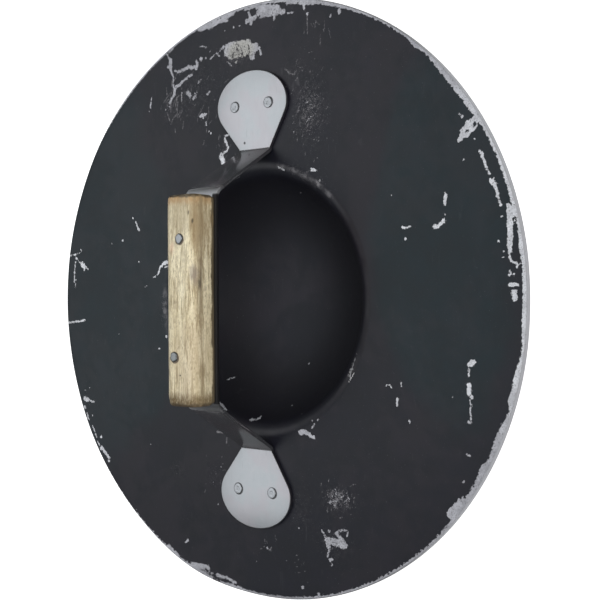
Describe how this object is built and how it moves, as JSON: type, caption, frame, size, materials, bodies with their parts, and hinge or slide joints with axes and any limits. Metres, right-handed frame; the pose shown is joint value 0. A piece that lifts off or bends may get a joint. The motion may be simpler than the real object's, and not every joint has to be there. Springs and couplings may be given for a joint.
{
  "type": "buckler",
  "caption": "Small round steel hand shield lying on its pressed boss, with a bent steel strap handle and a wooden grip across the hollow back.",
  "frame": {"origin": "middle of the small flat spot on the crown of the boss, which the buckler rests on", "axes": "+Z points from the boss to the wearer, square to the plate; +Y runs along the handle; +X points to the right as the wearer looks at the back"},
  "size_m": [0.3, 0.3, 0.0893],
  "materials": {
    "painted_steel": "worn satin black paint, chipped to bare steel",
    "bare_steel": "satin",
    "grip_wood": "dry and worn, darker at the ends",
    "rivet_steel": "satin"
  },
  "bodies": {
    "root": {"plate_with_boss": "painted_steel", "handle_strap": "bare_steel", "wooden_grip": "grip_wood", "paddle_rivet_top_left": "rivet_steel", "paddle_rivet_top_right": "rivet_steel", "paddle_rivet_bottom_left": "rivet_steel", "paddle_rivet_bottom_right": "rivet_steel", "grip_rivet_top": "rivet_steel", "grip_rivet_bottom": "rivet_steel"}
  },
  "joints": []
}
